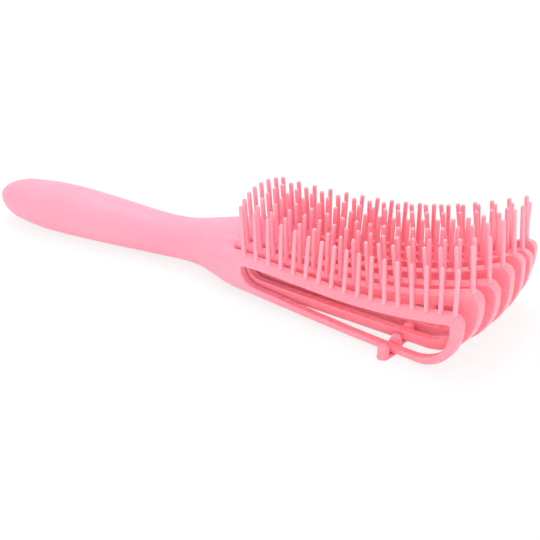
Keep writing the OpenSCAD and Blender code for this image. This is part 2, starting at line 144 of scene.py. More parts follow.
def hermite(u, start, end, start_slope, end_slope):
    """The cubic from start to end as u runs from 0 to 1, with these slopes at its ends."""
    return (
        (1 - 3 * u * u + 2 * u ** 3) * start
        + (3 * u * u - 2 * u ** 3) * end
        + (u - 2 * u * u + u ** 3) * start_slope
        + (u ** 3 - u * u) * end_slope
    )


def curve(t, rows):
    """A smooth curve through rows of (t, value)."""
    i = 0
    while i < len(rows) - 2 and t >= rows[i + 1][0]:
        i += 1

    def steep(n):
        a, b = rows[max(n - 1, 0)], rows[min(n + 1, len(rows) - 1)]
        return (b[1] - a[1]) / (b[0] - a[0])

    (t0, start), (t1, end) = rows[i], rows[i + 1]
    step = t1 - t0
    return hermite((t - t0) / step, start, end, steep(i) * step, steep(i + 1) * step)


def pair(k):
    return k - 1 if k <= 4 else 8 - k


def inward(k):
    """The sign of v towards the middle of the brush, seen from rib k."""
    return 1 if k <= 4 else -1


def fan_angle(k):
    return -inward(k) * ANGLES[pair(k)]


def place(k, r, v, z):
    """A point of rib k: r along it from the centre of the fan, v across it towards +Y, z up."""
    a = radians(fan_angle(k))
    return Vector((FAN_X + r * cos(a) - v * sin(a), r * sin(a) + v * cos(a), z))


def strip_z(p, r):
    """The top of the pin strip: two parabolas that meet at its lowest place."""
    low = RIB_START + LOW_PLACE[p] * (NOSE[p] - RIB_START)
    if r > low:
        return LOW_Z[p] + NOSE_RISE[p] * ((r - low) / (NOSE[p] - CORNER_R - low)) ** 2
    return LOW_Z[p] + ROOT_RISE[p] * ((low - r) / (low - RIB_START)) ** 2


def strip_thick(p, r):
    more = ROOT_T_MORE * max(0, 1 - (r - WINDOW_START) / ROOT_T_L) ** 2 if p == 0 else 0
    return STRIP_T[p] + more


def bar_under(p, r):
    """The underside of the lower bar."""
    u = (r - RIB_START) / (STRAP_R - RIB_START)
    if p == 0:
        u = sin(radians(90 * min(1, max(0, u)))) ** 1.5
    return lerp(BAR_START_Z, BAR_END_Z[p], u)


def slope(height, p, r):
    return (height(p, r + 0.1) - height(p, r - 0.1)) / 0.2


def strip_lean(p, r):
    return degrees(atan(slope(strip_z, p, r)))


def corner(p):
    """The nose's rounded upper corner: how the strip leans there, where the corner starts, and
    the height of its centre."""
    lean = strip_lean(p, NOSE[p] - CORNER_R)
    start = NOSE[p] - CORNER_R * (1 + sin(radians(lean)))
    return lean, start, strip_z(p, start) - CORNER_R * cos(radians(lean))


def surface_z(p, r):
    """The top that the pins stand on: the strip and then the rounded corner."""
    lean, start, centre = corner(p)
    if r <= start:
        return strip_z(p, r)
    return centre + sqrt(max(0, CORNER_R ** 2 - (r - NOSE[p] + CORNER_R) ** 2))


def rib_half(p, r):
    start, end = NOSE[p] - HEEL_L[p] - WIDER_BEFORE_HEEL, NOSE[p] - WIDER_END
    return RIB_HALF + NOSE_HALF_MORE[p] * smooth((r - start) / (end - start))


def crown(p, r):
    """How far the strip's top rises towards the middle of the brush, per millimetre across it."""
    root, middle, nose = CROWN[p]
    first, second = [smooth((r - at) / length) for at, length in (CROWN_FIRST, CROWN_SECOND)]
    return lerp(root, lerp(middle, nose, second), first)


# ---------------------------------------------------------------- materials
def node(tree, kind, inputs, **settings):
    """Adds a shader node. Each input is given a value, or another node's output to link to."""
    made = tree.nodes.new("ShaderNode" + kind)
    for name, value in settings.items():
        setattr(made, name, value)
    for name, value in inputs.items():
        if isinstance(value, bpy.types.NodeSocket):
            tree.links.new(value, made.inputs[name])
        else:
            made.inputs[name].default_value = value
    return made


def math_node(tree, operation, *values):
    return node(tree, "Math", dict(enumerate(values)), operation=operation).outputs[0]


def ramp(tree, value, start, end, to_start=0, to_end=1, **settings):
    """Runs from to_start to to_end as value runs from start to end."""
    inputs = {"Value": value, "From Min": start, "From Max": end}
    inputs |= {"To Min": to_start, "To Max": to_end}
    return node(tree, "MapRange", inputs, **settings).outputs["Result"]


def mix_colours(tree, factor, a, b, **settings):
    """Mixes two colours, each given as three numbers or as another node's output."""
    a, b = [(*c, 1) if isinstance(c, tuple) else c for c in (a, b)]
    inputs = {"Factor": factor, "A": a, "B": b}
    return node(tree, "Mix", inputs, data_type="RGBA", **settings).outputs["Result"]


HEAD_FADE_L = 30  # over this length the head's colour and finish turn into the rib's


def plastic(name, colour, deep, rough, grain, gloss, head=None):
    """Moulded plastic: soft colour drift, fine grain in the finish and the bump, some light let in
    under the skin. gloss is (specular level, coat). Where the ribs grow out of the head, colour and
    finish start as the head's, given as (colour, deep, rough)."""
    material = bpy.data.materials.new(name)
    material.use_nodes = True
    tree = material.node_tree
    shader = tree.nodes["Principled BSDF"]
    plain = {
        "Subsurface Weight": 0.4,
        "Subsurface Radius": (1.0, 0.22, 0.26),
        "Subsurface Scale": 0.0008,
        "IOR": 1.48,
        "Specular IOR Level": gloss[0],
        "Coat Weight": gloss[1],
        "Coat Roughness": 0.12,
    }
    for socket, value in plain.items():
        shader.inputs[socket].default_value = value
    spot = node(tree, "TexCoord", {}).outputs["Object"]

    def noise(scale, detail, roughness):
        inputs = {"Scale": scale, "Detail": detail, "Roughness": roughness, "Vector": spot}
        return node(tree, "TexNoise", inputs).outputs["Fac"]

    # From coarse to fine: the drift of the colour, the flow of the finish, and the moulded grain
    drift = ramp(tree, noise(38, 3, 0.5), 0.3, 0.62)
    flow = noise(260, 4, 0.6)
    fine = noise(2600, 3, 0.6)
    tint = mix_colours(tree, drift, deep, colour)
    finish = ramp(tree, flow, 0.3, 0.7, rough - 0.05, rough + 0.06)
    if head:
        head_colour, head_deep, head_rough = head
        # How far a point is from the centre of the fan, seen from above
        centre, level = (FAN_X * MM, 0, 0), (1, 1, 0)
        off = node(tree, "VectorMath", {0: spot, 1: centre}, operation="SUBTRACT").outputs[0]
        flat = node(tree, "VectorMath", {0: off, 1: level}, operation="MULTIPLY").outputs[0]
        reach = node(tree, "VectorMath", {0: flat}, operation="LENGTH")
        start, end = (SEAM - 1) * MM, (SEAM + HEAD_FADE_L) * MM
        along = ramp(tree, reach.outputs["Value"], start, end, interpolation_type="SMOOTHSTEP")
        head_tint = mix_colours(tree, drift, head_deep, head_colour)
        tint = mix_colours(tree, along, head_tint, tint)
        finish = math_node(tree, "ADD", finish, ramp(tree, along, 0, 1, head_rough - rough, 0))
    waves = {"Strength": 0.12, "Distance": 0.0001, "Height": flow}
    normal = node(tree, "Bump", waves).outputs["Normal"]
    grains = {"Strength": grain, "Distance": 0.00004, "Height": fine, "Normal": normal}
    normal = node(tree, "Bump", grains).outputs["Normal"]
    for result, socket in ((tint, "Base Color"), (finish, "Roughness"), (normal, "Normal")):
        tree.links.new(result, shader.inputs[socket])
    return material


def parting_line(material):
    """The faint line where the two shells meet on the head, drawn in colour and bump alone. It
    climbs towards the ribs and fades towards the grip."""
    tree = material.node_tree
    shader = tree.nodes["Principled BSDF"]
    spot = node(tree, "TexCoord", {}).outputs["Object"]
    axes = node(tree, "SeparateXYZ", {"Vector": spot}).outputs
    low, high, half_thick = 0.0098, 0.0156, 0.00013
    height = ramp(tree, axes["X"], -0.03, HEAD_END * MM, low, high)
    near = math_node(tree, "COMPARE", axes["Z"], height, half_thick)
    fade = ramp(tree, axes["X"], -0.015, 0.004)
    line = math_node(tree, "MULTIPLY", near, fade)
    tint = shader.inputs["Base Color"].links[0].from_socket
    tint = mix_colours(tree, line, tint, (0.97, 0.8, 0.84), blend_type="MULTIPLY")
    tree.links.new(tint, shader.inputs["Base Color"])
    normal = shader.inputs["Normal"].links[0].from_socket
    inputs = {"Strength": 0.5, "Distance": 0.0001, "Height": line, "Normal": normal}
    groove = node(tree, "Bump", inputs, invert=True)
    tree.links.new(groove.outputs["Normal"], shader.inputs["Normal"])


def paint_tip_highlights(material):
    """The round ends of the pins are paler: a painted highlight on each tip, painted into the base
    colour.
    """
    tree = material.node_tree
    shader = tree.nodes["Principled BSDF"]
    # painted highlight: each point's share of it, by which the tips' colour is mixed towards pale
    # pink
    tip = node(tree, "Attribute", {}, attribute_name="tip").outputs["Fac"]
    tint = shader.inputs["Base Color"].links[0].from_socket
    tint = mix_colours(tree, tip, tint, (1.0, 0.57, 0.64))
    tree.links.new(tint, shader.inputs["Base Color"])


SATIN = ((1.0, 0.335, 0.44), (1.0, 0.31, 0.415), 0.42)
RIB_PINK = ((1.0, 0.295, 0.365), (1.0, 0.27, 0.34), 0.26)
PIN_PINK = ((1.0, 0.34, 0.42), (1.0, 0.315, 0.395), 0.18)
handle_plastic = plastic("satin_pink", *SATIN, 0.5, (0.5, 0))
parting_line(handle_plastic)
rib_plastic = plastic("glossy_pink", *RIB_PINK, 0.25, (0.5, 0.1), SATIN)
pin_plastic = plastic("pin_pink", *PIN_PINK, 0.1, (0.8, 0.9), SATIN)
# paints a highlight onto the pins' round tips
paint_tip_highlights(pin_plastic)


# ---------------------------------------------------------------- mesh helpers
ARC = [radians(a) for a in (0, 30, 60, 90)]  # the steps of a fillet


def make_object(name, points, faces, material):
    mesh = bpy.data.meshes.new(name)
    bm = bmesh.new()
    verts = [bm.verts.new(Vector(p) * MM) for p in points]
    for face in faces:
        bm.faces.new([verts[i] for i in face])
    bmesh.ops.recalc_face_normals(bm, faces=bm.faces)
    bm.to_mesh(mesh)
    bm.free()
    mesh.materials.append(material)
    obj = bpy.data.objects.new(name, mesh)
    bpy.context.scene.collection.objects.link(obj)
    return obj


def apply_all(obj):
    bpy.context.view_layer.update()
    graph = bpy.context.evaluated_depsgraph_get()
    mesh = bpy.data.meshes.new_from_object(obj.evaluated_get(graph))
    obj.modifiers.clear()
    old = obj.data
    obj.data = mesh
    name = old.name
    bpy.data.meshes.remove(old)
    mesh.name = name


def shade(obj, sharp):
    for face in obj.data.polygons:
        face.use_smooth = True
    obj.data.set_sharp_from_angle(angle=radians(sharp))


def finish_mesh(obj, bevel=None):
    """Bevels the weighted edges, then smooths the shading with face-weighted normals, all applied
    to the mesh."""
    if bevel:
        mod = obj.modifiers.new("bevel", "BEVEL")
        mod.limit_method = "WEIGHT"
        mod.width = bevel * MM
        mod.segments = 3
        mod.use_clamp_overlap = False
        apply_all(obj)
    shade(obj, 50)
    mod = obj.modifiers.new("normals", "WEIGHTED_NORMAL")
    mod.keep_sharp = True
    mod.weight = 60
    apply_all(obj)


def tube(base, rings, sides):
    """Faces between neighbouring rings of points, from the point with number base on."""
    faces = []
    for m in range(rings - 1):
        a, b = base + m * sides, base + (m + 1) * sides
        for j in range(sides):
            j2 = (j + 1) % sides
            faces.append((a + j, a + j2, b + j2, b + j))
    return faces


# ---------------------------------------------------------------- ribs
# Fillets at a rib's edges, each (on its outer side, on its inner side): the strip, the nose, the
# lower bar, and the strip and the bar at the seam. The outer ribs are well rounded outside, and
# the others have crisp edges.
OUTER_F = ((1.35, 0.45), (1.5, 1.3), (0.85, 0.6), (SEAM_TOP_F, 0.4), (SEAM_UNDER_F, 0.4))
INNER_F = ((0.42, 0.42), (0.55, 0.5), (0.5, 0.5), (0.4, 0.4), (0.4, 0.4))
# The steps of each stretch of a rib's loop
STRIP_N, CORNER_N, FLAT_N, HEEL_N, BAR_N, ROUND_N, ROOT_CORNER_N = 30, 8, 3, 14, 16, 7, 4
ROOT_N = ROUND_N + FLAT_N - 1 + ROOT_CORNER_N
SEAM_F_L, NOSE_F_L = 22, 14  # the fillets change over these lengths
ROOT_LOW, ROOT_HIGH = 1.4, 0.35  # how far the flat root stays from the edges


def heel(p):
    """The heel's curve: where it meets the lower bar, the bar's underside there, its rise."""
    r = NOSE[p] - HEEL_L[p]
    under = bar_under(p, r)
    return r, under, min(HEEL_H, 0.97 * (corner(p)[2] - under))


def rib_outline(p):
    """Stations round the outside of a rib's loop: (r, z, normal r, normal z, outer fillet, inner
    fillet)."""
    strip_f, nose_f, bar_f, seam_top_f, seam_under_f = OUTER_F if p == 0 else INNER_F
    lean, start, centre = corner(p)
    nose = NOSE[p]
    heel_r, under, rise = heel(p)

    def from_seam(r, seam_f, beyond_f):
        return lerp_each(seam_f, beyond_f, smooth((r - SEAM) / SEAM_F_L))

    stations = []
    # The pin strip
    for i in range(STRIP_N + 1):
        r = lerp(SEAM, start, i / STRIP_N)
        normal = unit(-slope(strip_z, p, r), 1) if i else (0, 1)
        to_nose = smooth((r - start + NOSE_F_L) / NOSE_F_L)
        fillet = lerp_each(from_seam(r, seam_top_f, strip_f), nose_f, to_nose)
        stations.append((r, strip_z(p, r), *normal, *fillet))
    # The nose's upper corner, and straight down the nose
    for i in range(1, CORNER_N + 1):
        t = radians((90 + lean) * (1 - i / CORNER_N))
        r, z = nose - CORNER_R + CORNER_R * cos(t), centre + CORNER_R * sin(t)
        stations.append((r, z, cos(t), sin(t), *nose_f))
    for i in range(1, FLAT_N):
        stations.append((nose, lerp(centre, under + rise, i / FLAT_N), 1, 0, *nose_f))
    # The heel
    length = nose - heel_r
    for i in range(HEEL_N + 1):
        t = radians(90 * i / HEEL_N)
        r, z = heel_r + length * cos(t), under + rise * (1 - sin(t))
        fillet = lerp_each(nose_f, bar_f, i / HEEL_N)
        stations.append((r, z, *unit(cos(t) / length, -sin(t) / rise), *fillet))
    # The lower bar
    for i in range(1, BAR_N + 1):
        r = lerp(heel_r, SEAM, i / BAR_N)
        normal = unit(slope(bar_under, p, r), -1) if i < BAR_N else (0, -1)
        stations.append((r, bar_under(p, r), *normal, *from_seam(r, seam_under_f, bar_f)))
    # The root, flat against the stub
    low, high = bar_under(p, SEAM) + ROOT_LOW, strip_z(p, SEAM) - seam_top_f[0] - ROOT_HIGH
    for i in range(1, ROOT_N + 1):
        stations.append((SEAM, lerp(low, high, i / (ROOT_N + 1)), 0, 0, *seam_top_f))
    return stations


def rib_window(p):
    """Stations round a rib's window, each one opposite a station of the outside."""
    edge, bar_edge = (0.4, 0.6) if p == 0 else (0.35, 0.4)
    far = NOSE[p] - NOSE_T[p]
    heel_r = heel(p)[0] - NOSE_T[0] / 2
    under = bar_under(p, heel_r) + BAR_T[p]
    nose_r = WINDOW_NOSE_R[p]
    strip_from, strip_to = WINDOW_START + WINDOW_ROOT_R, far - nose_r

    def ceiling(r):
        return strip_z(p, r) - strip_thick(p, r)

    def normal_down(r):
        return unit(slope(strip_z, p, r), -1)

    def corner_centre(r, radius):
        normal = normal_down(r)
        return r + normal[0] * radius, ceiling(r) + normal[1] * radius

    stations = []

    def add(r, z, normal, outer_edge=edge):
        stations.append((r, z, *normal, outer_edge, edge))

    # Under the pin strip
    for i in range(STRIP_N + 1):
        r = lerp(strip_from, strip_to, i / STRIP_N)
        add(r, ceiling(r), normal_down(r))
    # The upper corner at the nose, and straight down
    lean = strip_lean(p, strip_to)
    centre_r, centre_z = corner_centre(strip_to, nose_r)
    rise = min(WINDOW_RISE, centre_z - under - 1)
    for i in range(1, CORNER_N + 1):
        t = radians((90 + lean) * (1 - i / CORNER_N))
        r = min(far, centre_r + nose_r * cos(t))
        add(r, centre_z + nose_r * sin(t), (-cos(t), -sin(t)))
    for i in range(1, FLAT_N):
        add(far, lerp(centre_z, under + rise, i / FLAT_N), (-1, 0))
    # Inside the heel
    length = far - heel_r
    for i in range(HEEL_N + 1):
        t = radians(90 * i / HEEL_N)
        normal = unit(-cos(t) / length, sin(t) / rise)
        r, z = heel_r + length * cos(t), under + rise * (1 - sin(t))
        add(r, z, normal, lerp(edge, bar_edge, i / HEEL_N))
    # The lower bar's top, which climbs a little to the window's round end
    round_r = WINDOW_START + ROUND_L
    round_z = bar_under(p, WINDOW_START) + BAR_T[p] + ROUND_LIFT
    climb = round_z - bar_under(p, round_r) - BAR_T[p]
    for i in range(1, BAR_N + 1):
        u = i / BAR_N
        r = lerp(heel_r, round_r, u)
        steep = slope(bar_under, p, r) + climb * 2 * u / (round_r - heel_r)
        z = bar_under(p, r) + BAR_T[p] + climb * u * u
        add(r, z, unit(-steep, 1), lerp(bar_edge, edge, u ** 4))
    # The round end, straight up, and the upper corner at the root
    for i in range(1, ROUND_N + 1):
        t = radians(90 * i / ROUND_N)
        r, z = WINDOW_START + ROUND_L * (1 - sin(t)), round_z + ROUND_H * (1 - cos(t))
        add(r, z, unit(sin(t) / ROUND_L, cos(t) / ROUND_H))
    centre_r, centre_z = corner_centre(strip_from, WINDOW_ROOT_R)
    for i in range(1, FLAT_N):
        add(WINDOW_START, lerp(round_z + ROUND_H, centre_z, i / FLAT_N), (1, 0))
    span = 90 - strip_lean(p, strip_from)
    for i in range(ROOT_CORNER_N):
        t = radians(180 - span * i / ROOT_CORNER_N)
        r = max(WINDOW_START, centre_r + WINDOW_ROOT_R * cos(t))
        add(r, centre_z + WINDOW_ROOT_R * sin(t), (-cos(t), -sin(t)))
    return stations


def across(half, fillet_out, fillet_in):
    """Across the edge: (v, depth), from the outer side to the inner side."""
    left = [(-(half - fillet_out + fillet_out * cos(t)), fillet_out * (1 - sin(t))) for t in ARC]
    right = [(half - fillet_in + fillet_in * cos(t), fillet_in * (1 - sin(t))) for t in ARC[::-1]]
    a, b = left[-1][0], right[0][0]
    return left + [(lerp(a, b, 1 / 3), 0), (lerp(a, b, 2 / 3), 0)] + right


def make_rib(k):
    p = pair(k)
    outline, window = rib_outline(p), rib_window(p)
    points, faces = [], []
    for outside, inside in zip(outline, window):
        r, z, normal_r, normal_z, *fillets = outside
        for v, depth in across(rib_half(p, r), *fillets):
            lift = crown(p, r) * v * max(0, normal_z) ** 2
            spot = r - normal_r * depth, v * inward(k), z - normal_z * depth + lift
            points.append(place(k, *spot))
        r, z, normal_r, normal_z, *fillets = inside
        for v, depth in reversed(across(rib_half(p, r), *fillets)):
            points.append(place(k, r - normal_r * depth, v * inward(k), z - normal_z * depth))
    rings = len(outline)
    size = len(points) // rings
    for i in range(rings):
        a, b = i * size, ((i + 1) % rings) * size
        for j in range(size):
            j2 = (j + 1) % size
            faces.append((a + j, b + j, b + j2, a + j2))
    obj = make_object(f"rib_{k}_loop", points, faces, rib_plastic)
    finish_mesh(obj)
    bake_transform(obj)
    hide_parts(f"rib_{k}")


# ---------------------------------------------------------------- pins
PIN_SIDES = 16
PIN_TIP_R = 0.88
PIN_FOOT = [(-1.3, 1.16), (-0.25, 1.12), (0.0, 1.07), (0.18, 1.0), (0.5, 0.975)]
# How the pins of each pair of rows lean along their ribs, in degrees, from the first to the last
LEAN_ROWS = [
    [(0, -5), (0.15, -1), (0.35, 4.5), (0.5, 2), (0.65, -1.5), (0.8, -4), (1, 0.5)],
    [(0, -5.5), (0.15, -4), (0.35, 0.5), (0.5, -3.5), (0.65, -9), (0.8, -7), (1, -4.5)],
    [(0, -5.5), (0.15, -4), (0.35, 3.5), (0.5, -3), (0.65, -6), (0.8, -1.5), (1, -3.5)],
    [(0, -5.5), (0.15, -5), (0.35, 4), (0.5, 2), (0.65, 0.5), (0.8, 0), (1, -3.5)],
]


def pin_profile(length):
    """(height, radius) up a pin: its flared foot, its taper and its round tip."""
    (h, w), tip = PIN_FOOT[-1], PIN_TIP_R
    taper = [(lerp(h, length - tip, u), lerp(w, tip, u)) for u in (0.33, 0.66, 1)]
    steps = [radians(t) for t in (22, 44, 64, 80)]
    return PIN_FOOT + taper + [(length - tip + tip * sin(t), tip * cos(t)) for t in steps]


def make_pins(k):
    p = pair(k)
    a = radians(fan_angle(k))
    first, last = RIB_START + FIRST_PIN[p], corner(p)[1] + LAST_PIN
    right = Vector((-sin(a), cos(a), 0))
    points, faces, tips = [], [], []
    for i in range(PIN_COUNT[p]):
        u = i / (PIN_COUNT[p] - 1)
        r = lerp(first, last, u)
        length = PIN_L - PIN_LESS + PIN_EXTRA[p] * (1 - u) ** 5 + PIN_NOSE_EXTRA * u ** 4
        lean = radians(curve(u, LEAN_ROWS[p]))
        foot = place(k, r, 0, surface_z(p, r))
        axis = Vector((cos(a) * sin(lean), sin(a) * sin(lean), cos(lean)))
        ahead = right.cross(axis)
        profile = pin_profile(length)
        base = len(points)
        for h, w in profile:
            # each ring's share of the painted highlight on the pin's round tip
            tips += [smooth((0.5 - w) / 0.4) if h > 2 else 0] * PIN_SIDES
            for j in range(PIN_SIDES):
                t = 2 * pi * j / PIN_SIDES
                points.append(foot + axis * h + (right * cos(t) + ahead * sin(t)) * w)
        faces += tube(base, len(profile), PIN_SIDES)
        top, bottom = len(points), len(points) + 1
        points += [foot + axis * length, foot + axis * PIN_FOOT[0][0]]
        # the top point gets the full painted highlight, the foot none
        tips += [1, 0]
        last_ring = top - PIN_SIDES
        for j in range(PIN_SIDES):
            j2 = (j + 1) % PIN_SIDES
            faces.append((last_ring + j, last_ring + j2, top))
            faces.append((base + j2, base + j, bottom))
    obj = make_object(f"pins_{k}", points, faces, pin_plastic)
    shade(obj, 60)
    # stores the painted highlight's share for the pin material
    obj.data.attributes.new("tip", "FLOAT", "POINT").data.foreach_set("value", tips)
    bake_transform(obj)
    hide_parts(f"pin_row_{k}")


# ---------------------------------------------------------------- handle
# Half widths of the grip, the neck and the head, their heights, and the head's underside
HG, HN, HH = 12.4, 9.8, 18.0
G, N, H, U = 20.0, 18.4, 24.1, 2.1
# (share of the handle's length, value): half width, top, underside, level of the parting line,
# and how square the section is above and below that line
WIDTH_ROWS = [
    (0, 0.57 * HG), (0.096, 0.815 * HG), (0.205, HG), (0.322, HG), (0.478, 0.92 * HG),
    (0.634, 1.01 * HN), (0.743, HN), (0.836, 0.76 * HN + 0.24 * HH),
    (0.922, 0.29 * HN + 0.71 * HH), (1, HH),
]
TOP_ROWS = [
    (0, 0.87 * G), (0.096, 0.93 * G), (0.205, 0.985 * G), (0.322, G), (0.478, 0.96 * G),
    (0.634, 0.985 * N), (0.743, 1.02 * N), (0.836, 0.5 * N + 0.5 * H),
    (0.922, 0.12 * N + 0.88 * H), (1, H),
]
UNDER_ROWS = [
    (0, 0.1 * G), (0.096, 0.08 * G), (0.205, 0.015 * G), (0.322, 0), (0.478, 0.015 * G),
    (0.634, 0.42 * U), (0.743, 0.76 * U), (0.836, 1.2 * U), (0.922, 1.1 * U), (1, U),
]
PART_ROWS = [(0, 0.49 * G), (0.25, 0.5 * G), (0.7, 0.53 * N), (1, 0.5 * H)]
TOP_SQUARE = [(0, 2.1), (0.74, 2.1), (1, 2.5)]
UNDER_SQUARE = [(0, 2.1), (0.74, 2.1), (0.84, 2.8), (0.92, 4), (1, 5)]
END_L = 15  # the handle's round end
MERGE_S, MERGE_STEP = 0.9, 0.004  # from this share on, the section turns into the seam's
BOW_S = 0.8  # from this share on, the rows turn into arcs round the centre of the fan
SEAM_HALF = 18.45  # half the width at the seam
SLOT_START = 91.8
FLANK_N = 10
STUB_STEP = 1.2
HOLE_MORE = 0.35  # the round end of a slot is longer than half its width by this
ROW_STEP, ROWS_END = 1.6, 89.4
LAST_ROWS = [89.8, 90.5, 91.2, SLOT_START, 92.4, 93.8, SEAM]

# A column of the handle's mesh: its place and slopes at the seam, its angle round the section,
# whether it is above the parting line, which row of the seam it is from (top or not), its kind
# (rib, gap or flank), the rib or gap that it belongs to, its spot there, and how far it draws
# back from the seam where a slot ends
Column = namedtuple("Column", "y z dy dz angle upper top kind k spot pull")


def half_section(s, upper):
    """The section's middle level, its reach above or below that, and how square it is."""
    middle = curve(s, PART_ROWS)
    reach = curve(s, TOP_ROWS) - middle if upper else middle - curve(s, UNDER_ROWS)
    return middle, reach, curve(s, TOP_SQUARE if upper else UNDER_SQUARE)


def section(s, t, upper):
    """y and z of the section at angle t (0 at +Y, pi at -Y), above or below the parting line."""
    middle, reach, square = half_section(s, upper)
    u = min(1, (s * HANDLE_L + 0.15) / END_L)
    f = sqrt(1 - (1 - u) ** 2)
    c, d = cos(t), abs(sin(t))
    y = f * curve(s, WIDTH_ROWS) * (1 if c > 0 else -1) * abs(c) ** (2 / square)
    z = f * reach * d ** (2 / square)
    return y, middle + (z if upper else -z)


def section_angle(y, z):
    """The angle of the head's last section that a point of the seam belongs to, and if it is
    above the parting line."""
    upper = z >= curve(1, PART_ROWS)
    middle, reach, square = half_section(1, upper)
    c = min(1, abs(y) / SEAM_HALF) ** (square / 2)
    d = min(1, abs(z - middle) / reach) ** (square / 2)
    t = atan2(d, c)
    return (pi - t if y < 0 else t), upper


def stub_rows(k, upper):
    """Across the stub of rib k at the seam: (v, depth)."""
    if pair(k):
        rows = [(v, 0) for v in (-RIB_HALF, -STUB_STEP, 0, STUB_STEP, RIB_HALF)]
    else:
        f = SEAM_TOP_F if upper else SEAM_UNDER_F
        rows = [(-(RIB_HALF - f + f * cos(t)), f * (1 - sin(t))) for t in ARC]
        flat = (1.1, RIB_HALF) if upper else (0.6, STUB_STEP, RIB_HALF)
        rows += [(v, 0) for v in flat]
    return rows if k <= 4 else [(-v, d) for v, d in reversed(rows)]


def stub_point(k, v, depth, upper):
    """A point of a stub at the seam, as y, z and their slopes along the rib."""
    p = pair(k)
    a = radians(fan_angle(k))
    y = SEAM * sin(a) + v * cos(a)
    if upper:
        z = strip_z(p, SEAM) + crown(p, SEAM) * v * inward(k) - depth
        return y, z, sin(a), slope(strip_z, p, SEAM)
    return y, bar_under(p, SEAM) + depth, sin(a), slope(bar_under, p, SEAM)


def make_column(point, top, kind, k, spot, pull=0):
    y, z, dy, dz = point
    return Column(y, z, dy, dz, *section_angle(y, z), top, kind, k, spot, pull)


def seam_row(upper):
    """The columns of the stubs and of the gaps between them, from -Y to +Y."""
    row = []
    for k in RIBS:
        rows = stub_rows(k, upper)
        for n, (v, depth) in enumerate(rows):
            spot = "first" if n == 0 else "last" if n == len(rows) - 1 else ""
            row.append(make_column(stub_point(k, v, depth, upper), upper, "rib", k, spot))
        if k < 8:
            a, b = stub_point(k, RIB_HALF, 0, upper), stub_point(k + 1, -RIB_HALF, 0, upper)
            for spot, t in enumerate((45, 90, 135)):
                point = lerp_each(a, b, (1 - cos(radians(t))) / 2)
                pull = ((b[0] - a[0]) / 2 + HOLE_MORE) * sin(radians(t))
                row.append(make_column(point, upper, "gap", k, spot, pull))
    return row


def seam_columns():
    """The head's section at the seam, once round: up the -Y flank, over the top, down the +Y
    flank and back below."""
    top, below = seam_row(True), seam_row(False)

    def flank(a, b, k):
        points = [lerp_each(a[:4], b[:4], i / FLANK_N) for i in range(1, FLANK_N)]
        return [make_column(point, True, "flank", k, i) for i, point in enumerate(points)]

    return flank(below[0], top[0], 1) + top + flank(top[-1], below[-1], 8) + below[::-1]


def handle_point(column, r):
    """A point of a column, r from the centre of the fan."""
    s = (r + FAN_X + X_END) / HANDLE_L
    t, upper = column.angle, column.upper
    if s <= MERGE_S:
        y, z = section(s, t, upper)
    else:
        # Runs smoothly from the free section into the seam's
        merge_r = HANDLE_L * MERGE_S - X_END - FAN_X
        y0, z0 = section(MERGE_S, t, upper)
        ya, za = section(MERGE_S - MERGE_STEP, t, upper)
        step = SEAM - merge_r
        dy0, dz0 = [(b - a) / (MERGE_STEP * HANDLE_L) * step for a, b in ((ya, y0), (za, z0))]
        u = (r - merge_r) / step
        y = hermite(u, y0, column.y, dy0, column.dy * step)
        z = hermite(u, z0, column.z, dz0, column.dz * step)
    if s >= 1:
        x = FAN_X + sqrt(r * r - y * y)
    else:
        bow = max(0, (s - BOW_S) / (1 - BOW_S)) ** 2
        x = FAN_X + r - bow * (ROOT_R - sqrt(ROOT_R ** 2 - y * y))
    return Vector((x, y, z))


def handle_rows():
    """The places of the mesh's rows along the handle, closer together at its two ends."""
    end = -X_END - FAN_X
    length = HANDLE_L * 0.12
    rows = [end + length * (1 - cos(radians(90 * i / 16))) for i in range(16)]
    r = end + length
    while r < ROWS_END:
        rows.append(r)
        r += ROW_STEP
    return rows + LAST_ROWS


